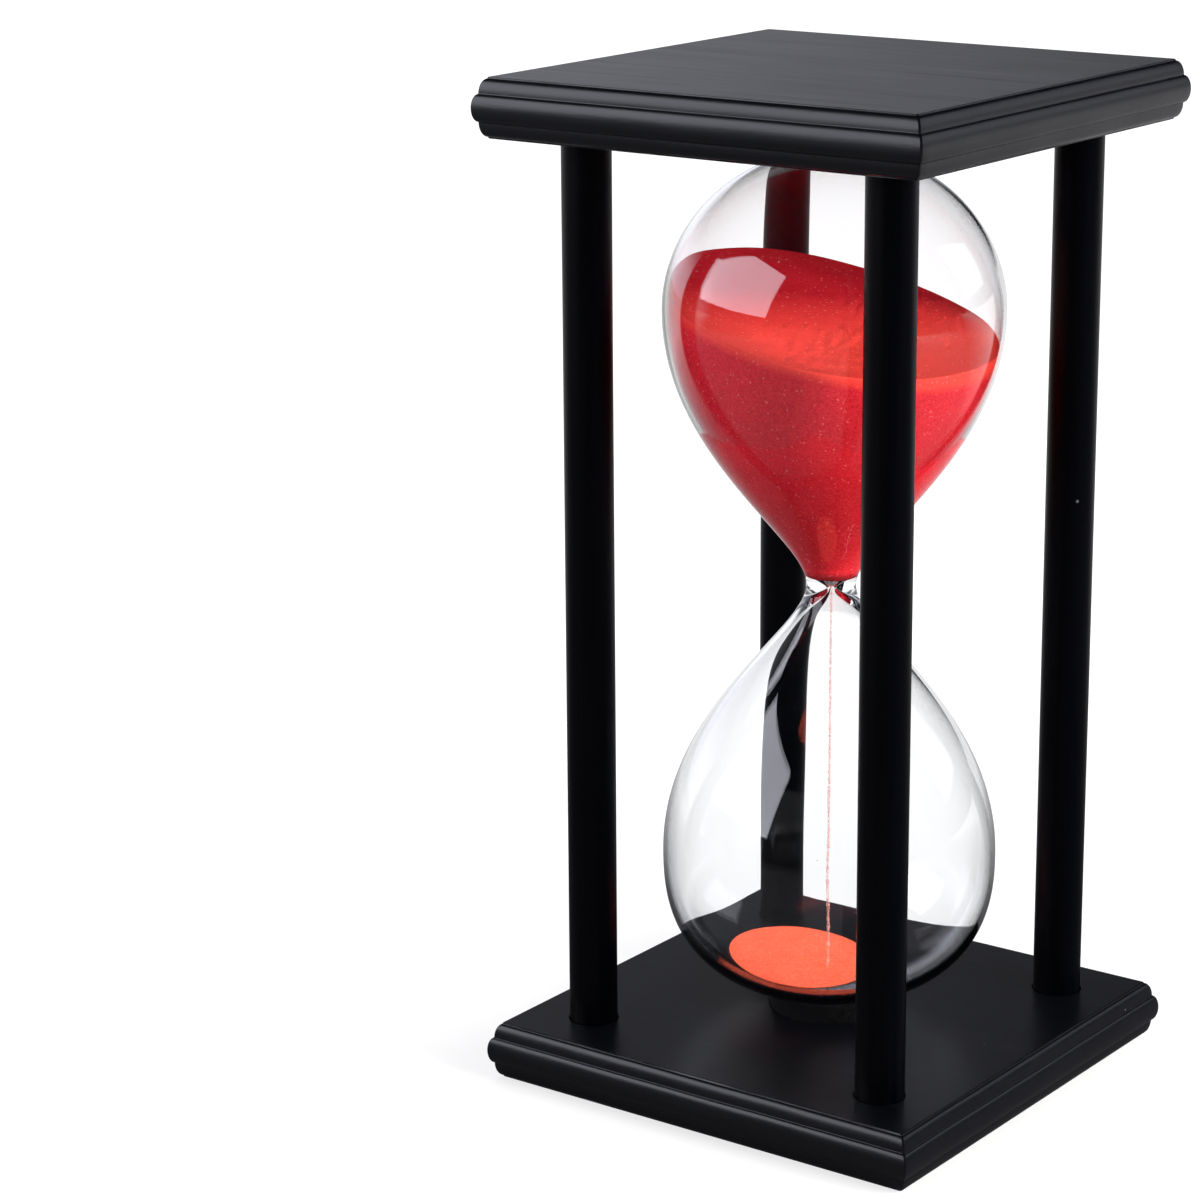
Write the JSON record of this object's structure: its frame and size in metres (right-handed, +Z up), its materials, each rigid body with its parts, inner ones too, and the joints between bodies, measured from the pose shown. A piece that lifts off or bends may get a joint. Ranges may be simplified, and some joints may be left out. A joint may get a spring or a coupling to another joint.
{
  "type": "hourglass",
  "caption": "Sand hourglass: a clear two-bulb glass held between moulded square wooden plates on round corner posts, with red sand running through the neck.",
  "frame": {"origin": "middle of the underside of the bottom plate", "axes": "+Z up through the neck of the glass; X and Y along the sides of the square plates"},
  "size_m": [0.123, 0.123, 0.25],
  "materials": {
    "black_wood": "satin",
    "clear_glass": "polished",
    "red_sand": "matte",
    "soft_rubber": "matte"
  },
  "bodies": {
    "root": {"bottom_plate": "black_wood", "top_plate": "black_wood", "post_front_left": "black_wood", "post_front_right": "black_wood", "post_back_left": "black_wood", "post_back_right": "black_wood", "glass_vessel": "clear_glass", "fill_stopper": "soft_rubber", "seat_ring_bottom": "soft_rubber", "seat_ring_top": "soft_rubber", "sand_upper": "red_sand", "sand_stream": "red_sand", "sand_lower": "red_sand"}
  },
  "joints": []
}
